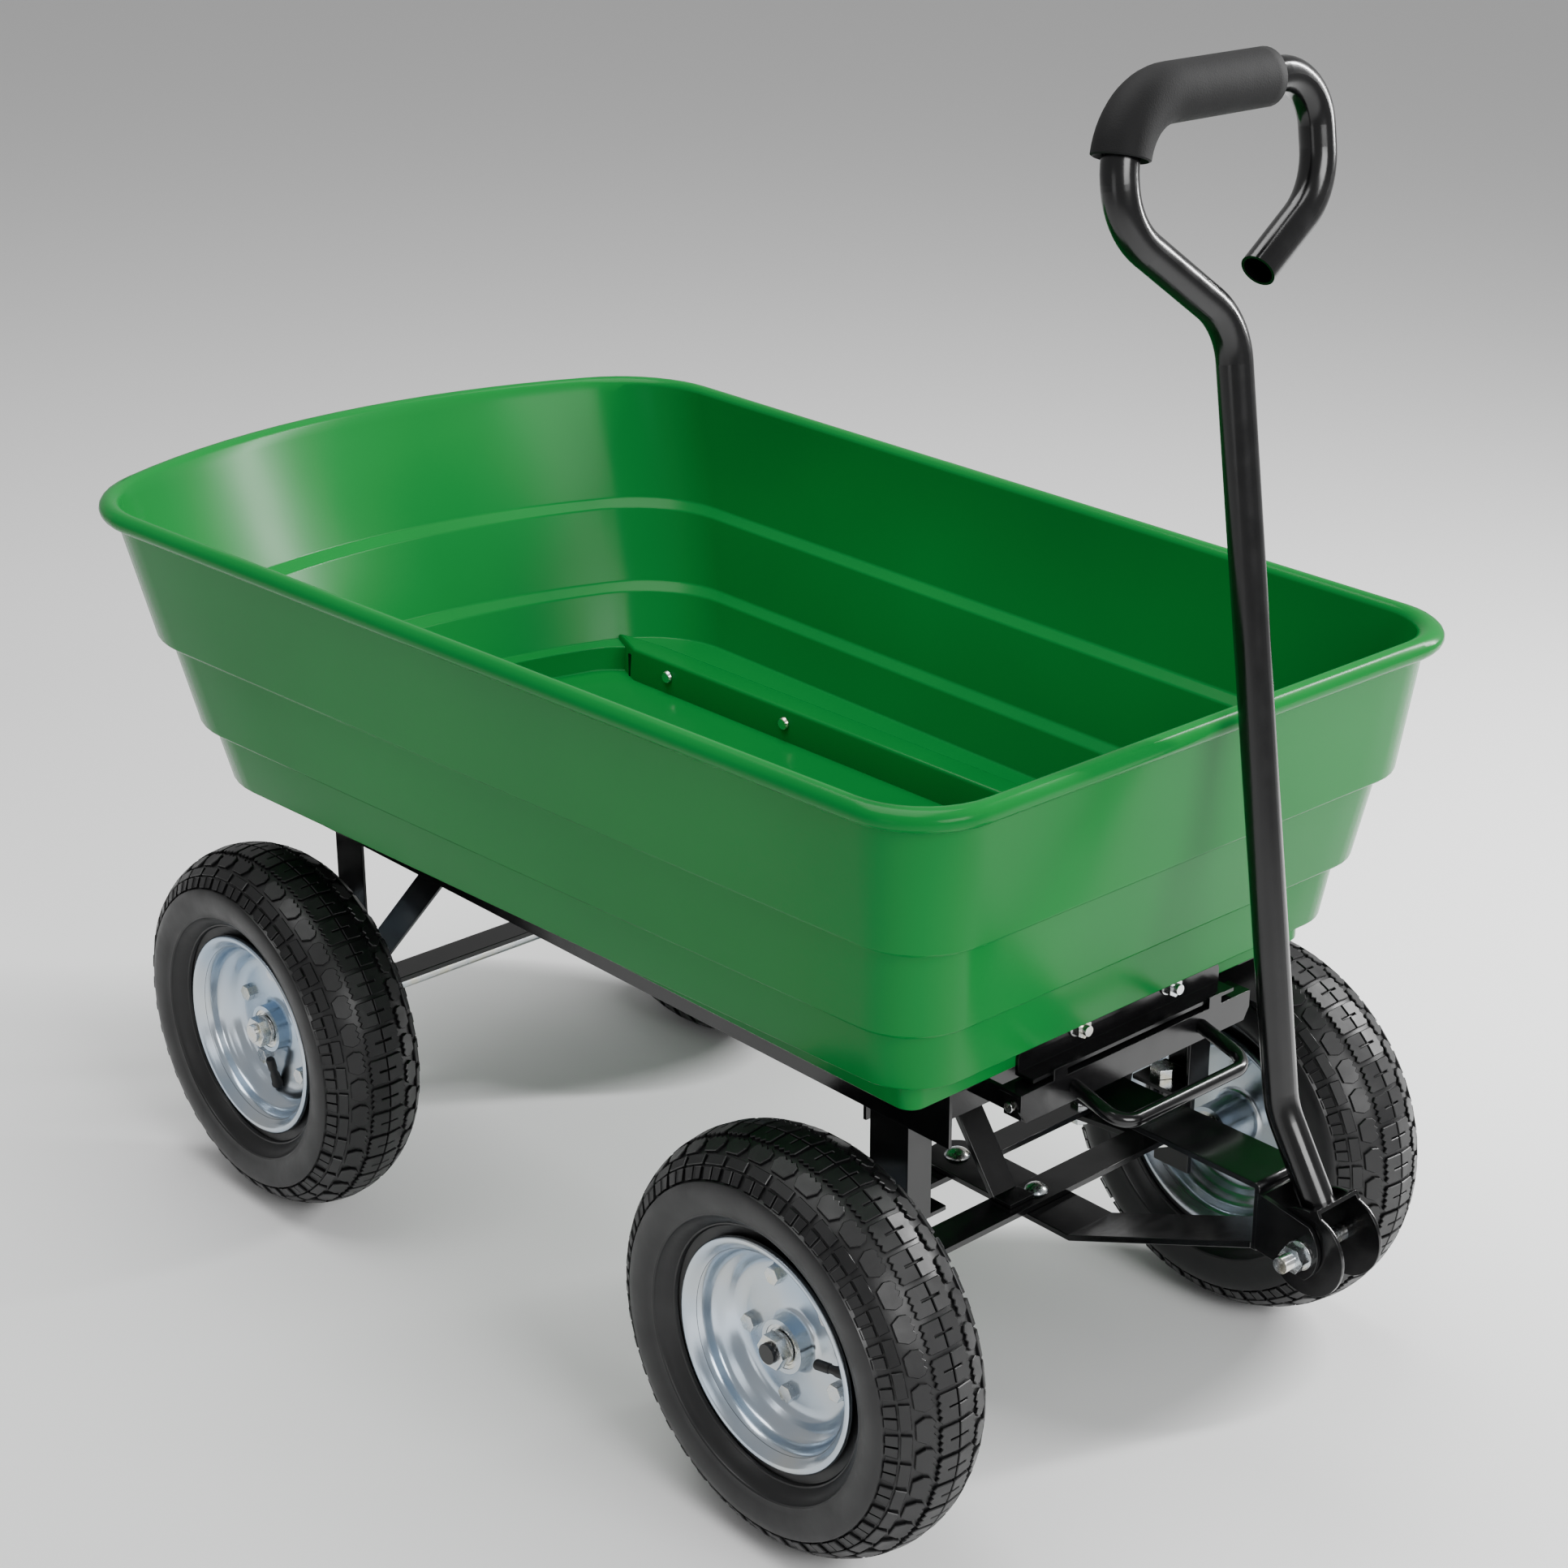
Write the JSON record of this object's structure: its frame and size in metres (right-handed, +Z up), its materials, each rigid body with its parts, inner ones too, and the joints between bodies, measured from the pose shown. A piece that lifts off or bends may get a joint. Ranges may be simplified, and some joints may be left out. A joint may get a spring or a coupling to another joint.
{
  "type": "garden dump cart",
  "caption": "Steerable four-wheel garden cart with a tipping moulded tub on a steel frame, pneumatic wheels and a folding pull handle with a foam grip.",
  "frame": {"origin": "on the ground under the middle of the cart's overall box at rest", "axes": "+X towards the pull handle, +Y to the cart's left, +Z up"},
  "size_m": [1.2314, 0.646, 1.0714],
  "materials": {
    "green_tub": "moulded green polyethylene, satin gloss",
    "black_steel": "gloss black powder coat",
    "zinc": "bright zinc plate",
    "tyre": "black rubber",
    "foam": "dark grey foam",
    "rubber": "black rubber"
  },
  "bodies": {
    "frame": {"rail_left": "black_steel", "rail_right": "black_steel", "front_leg_left": "black_steel", "front_leg_right": "black_steel", "rear_leg_left": "black_steel", "rear_leg_right": "black_steel", "rear_braces": "black_steel", "hinge_bolts": "zinc", "front_cross_strap": "black_steel", "rear_cross_strap": "black_steel", "front_cross_member": "black_steel", "middle_cross_member": "black_steel", "rear_cross_member": "black_steel", "front_brace": "black_steel", "latch_lugs": "black_steel", "rear_axle": "zinc", "rear_axle_nuts": "zinc", "kingpins": "zinc", "latch_pin": "zinc", "latch_spring": "zinc"},
    "tub": {"tub": "green_tub", "tub_hinge_brackets": "black_steel", "tub_bolts": "zinc", "tub_front_bracket": "black_steel", "bracket_bolts": "zinc"},
    "release_latch": {"latch_plate": "black_steel", "release_rod": "black_steel"},
    "knuckle_left": {"knuckle_left": "black_steel", "front_axle_nut_left": "zinc"},
    "knuckle_right": {"knuckle_right": "black_steel", "front_axle_nut_right": "zinc"},
    "drawbar": {"drawbar_lower_strap": "black_steel", "drawbar_upper_strap": "black_steel", "clevis": "black_steel", "handle_pivot_bolt": "zinc"},
    "tie_bar": {"tie_bar": "black_steel", "tie_bar_bolts": "zinc"},
    "handle": {"handle_base": "black_steel", "handle_tube": "black_steel", "handle_grip": "foam"},
    "wheel_front_left": {"tyre_front_left": "tyre", "rim_front_left": "zinc", "rim_bolts_front_left": "zinc", "bearings_front_left": "zinc", "valve_stem_front_left": "rubber"},
    "wheel_front_right": {"tyre_front_right": "tyre", "rim_front_right": "zinc", "rim_bolts_front_right": "zinc", "bearings_front_right": "zinc", "valve_stem_front_right": "rubber"},
    "wheel_rear_left": {"tyre_rear_left": "tyre", "rim_rear_left": "zinc", "rim_bolts_rear_left": "zinc", "bearings_rear_left": "zinc", "valve_stem_rear_left": "rubber"},
    "wheel_rear_right": {"tyre_rear_right": "tyre", "rim_rear_right": "zinc", "rim_bolts_rear_right": "zinc", "bearings_rear_right": "zinc", "valve_stem_rear_right": "rubber"}
  },
  "joints": [
    {"name": "tub_dump", "type": "hinge", "parent": "frame", "child": "tub", "pos_m": [-0.47725, 0, 0.34], "axis": [0, -1, 0], "range_deg": [0, 85]},
    {"name": "latch_release", "type": "hinge", "parent": "frame", "child": "release_latch", "pos_m": [0.39175, 0, 0.343], "axis": [0, 1, 0], "range_deg": [0, 15]},
    {"name": "steer", "type": "hinge", "parent": "frame", "child": "drawbar", "pos_m": [0.30775, 0, 0.183], "axis": [0, 0, 1], "range_deg": [-22, 22]},
    {"name": "knuckle_left_turn", "type": "hinge", "parent": "frame", "child": "knuckle_left", "pos_m": [0.30775, 0.145, 0.213], "axis": [0, 0, 1], "range_deg": [-22, 22]},
    {"name": "knuckle_right_turn", "type": "hinge", "parent": "frame", "child": "knuckle_right", "pos_m": [0.30775, -0.145, 0.213], "axis": [0, 0, 1], "range_deg": [-22, 22]},
    {"name": "tie_bar_turn", "type": "hinge", "parent": "drawbar", "child": "tie_bar", "pos_m": [0.22175, 0, 0.178], "axis": [0, 0, 1], "range_deg": [-22, 22]},
    {"name": "handle_pitch", "type": "hinge", "parent": "drawbar", "child": "handle", "pos_m": [0.58275, 0, 0.268], "axis": [0, 1, 0], "range_deg": [0, 105]},
    {"name": "wheel_front_left_roll", "type": "hinge", "parent": "knuckle_left", "child": "wheel_front_left", "pos_m": [0.30775, 0.249, 0.165], "axis": [0, 1, 0], "continuous": true},
    {"name": "wheel_front_right_roll", "type": "hinge", "parent": "knuckle_right", "child": "wheel_front_right", "pos_m": [0.30775, -0.249, 0.165], "axis": [0, 1, 0], "continuous": true},
    {"name": "wheel_rear_left_roll", "type": "hinge", "parent": "frame", "child": "wheel_rear_left", "pos_m": [-0.37325, 0.249, 0.165], "axis": [0, 1, 0], "continuous": true},
    {"name": "wheel_rear_right_roll", "type": "hinge", "parent": "frame", "child": "wheel_rear_right", "pos_m": [-0.37325, -0.249, 0.165], "axis": [0, 1, 0], "continuous": true}
  ],
  "couplings": [
    {"joint": "knuckle_left_turn", "follows": "steer", "ratio": 1},
    {"joint": "knuckle_right_turn", "follows": "steer", "ratio": 1},
    {"joint": "tie_bar_turn", "follows": "steer", "ratio": -1}
  ]
}
